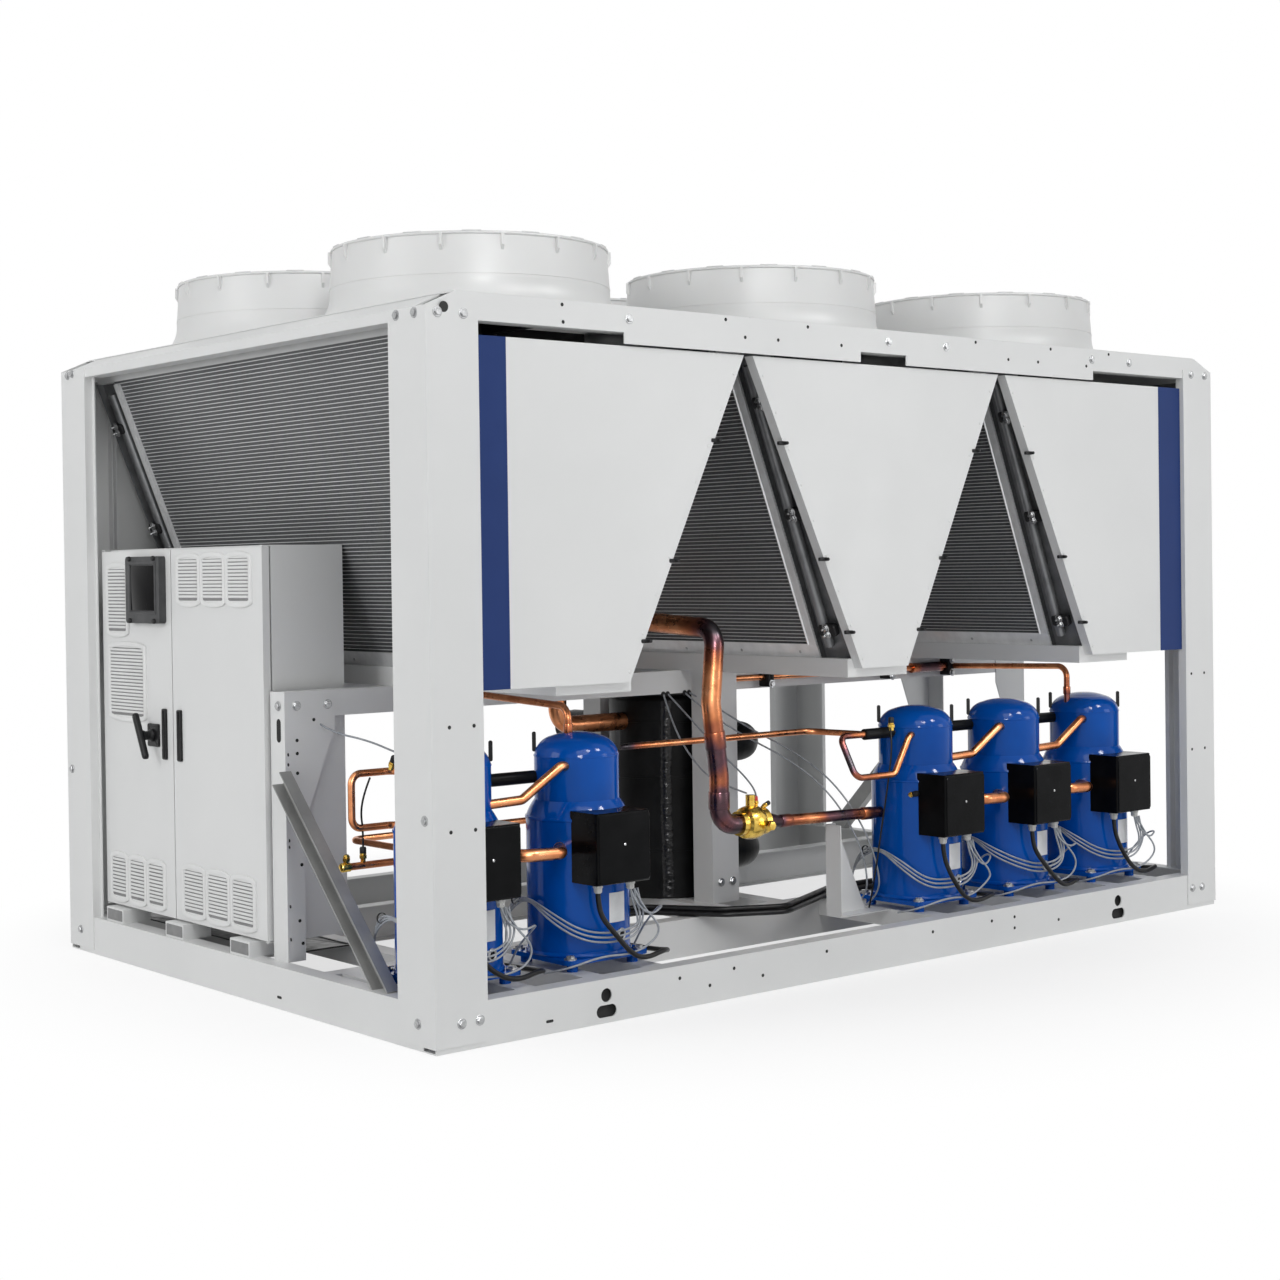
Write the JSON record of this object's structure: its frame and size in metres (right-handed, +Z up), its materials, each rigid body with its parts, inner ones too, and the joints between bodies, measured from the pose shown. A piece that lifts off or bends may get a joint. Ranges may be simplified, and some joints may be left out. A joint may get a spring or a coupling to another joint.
{
  "type": "air-cooled water chiller",
  "caption": "Air-cooled water chiller in an open steel frame, with V-shaped coil modules and fans on top, scroll compressors below and a hinged control cabinet at one end.",
  "frame": {"origin": "on the ground under the middle of the frame", "axes": "+X runs along the long side away from the control cabinet, +Y to the rear, +Z up; the cabinet is at the -X end and the compressors are at the -Y side"},
  "size_m": [3.621, 2.253, 2.297],
  "materials": {
    "white_paint": "satin white powder coat on folded sheet steel",
    "shroud_plastic": "moulded off-white plastic",
    "fan_plastic": "dark moulded fan blades",
    "motor_black": "black painted motor and arms",
    "coil_fin": "fine fins, dull grey",
    "galvanised_steel": "galvanised sheet",
    "copper": "drawn copper tube",
    "valve_brass": "machined brass",
    "compressor_blue": "glossy deep blue paint",
    "accent_blue": "satin blue",
    "black_plastic": "smooth black moulding",
    "display_grey": "grey frame round a dark screen",
    "insulation": "black foam insulation"
  },
  "bodies": {
    "frame": {"accent_stripes": "accent_blue", "base_cross_beams": "white_paint", "base_inner_beams": "white_paint", "base_rail_front": "white_paint", "base_rail_left": "white_paint", "base_rail_rear": "white_paint", "base_rail_right": "white_paint", "cabinet_shell": "white_paint", "centre_columns": "white_paint", "coil_end_frames": "galvanised_steel", "coil_headers": "copper", "coil_pair_1": "coil_fin", "coil_pair_2": "coil_fin", "coil_pair_3": "coil_fin", "coil_supports": "galvanised_steel", "compressor_1": "compressor_blue", "compressor_2": "compressor_blue", "compressor_3": "compressor_blue", "compressor_4": "compressor_blue", "compressor_5": "compressor_blue", "copper_lines": "copper", "end_braces": "white_paint", "end_legs": "white_paint", "evaporator_vessel": "insulation", "fan_deck": "white_paint", "fan_motors": "motor_black", "fan_rotors": "fan_plastic", "fan_shrouds_1": "shroud_plastic", "fan_shrouds_2": "shroud_plastic", "fan_shrouds_3": "shroud_plastic", "mid_beams": "white_paint", "motor_arms": "motor_black", "post_front_left": "white_paint", "post_front_right": "white_paint", "post_rear_left": "white_paint", "post_rear_right": "white_paint", "side_panel_front_left": "white_paint", "side_panel_front_middle": "white_paint", "side_panel_front_right": "white_paint", "side_panel_rear_left": "white_paint", "side_panel_rear_middle": "white_paint", "side_panel_rear_right": "white_paint", "suction_branches": "copper", "suction_line": "copper", "suction_valve": "valve_brass", "terminal_boxes": "black_plastic", "top_beam_front": "white_paint", "top_beam_left": "white_paint", "top_beam_rear": "white_paint", "top_beam_right": "white_paint", "water_pipes": "insulation", "wiring": "black_plastic"},
    "left_door": {"cabinet_door_left": "white_paint", "vent_covers_left": "white_paint", "display_panel": "display_grey", "door_fittings_left": "black_plastic"},
    "right_door": {"cabinet_door_right": "white_paint", "vent_covers_right": "white_paint", "door_grip_right": "black_plastic"},
    "switch": {"switch_lever": "black_plastic"}
  },
  "joints": [
    {"name": "left_door_hinge", "type": "hinge", "parent": "frame", "child": "left_door", "pos_m": [-1.749, 0.9175, 0.786], "axis": [0, 0, -1], "range_deg": [0, 90]},
    {"name": "right_door_hinge", "type": "hinge", "parent": "frame", "child": "right_door", "pos_m": [-1.749, -0.1585, 0.786], "axis": [0, 0, 1], "range_deg": [0, 110]},
    {"name": "switch_turn", "type": "hinge", "parent": "left_door", "child": "switch", "pos_m": [-1.79, 0.5545, 0.777], "axis": [1, 0, 0], "range_deg": [0, 90]}
  ]
}
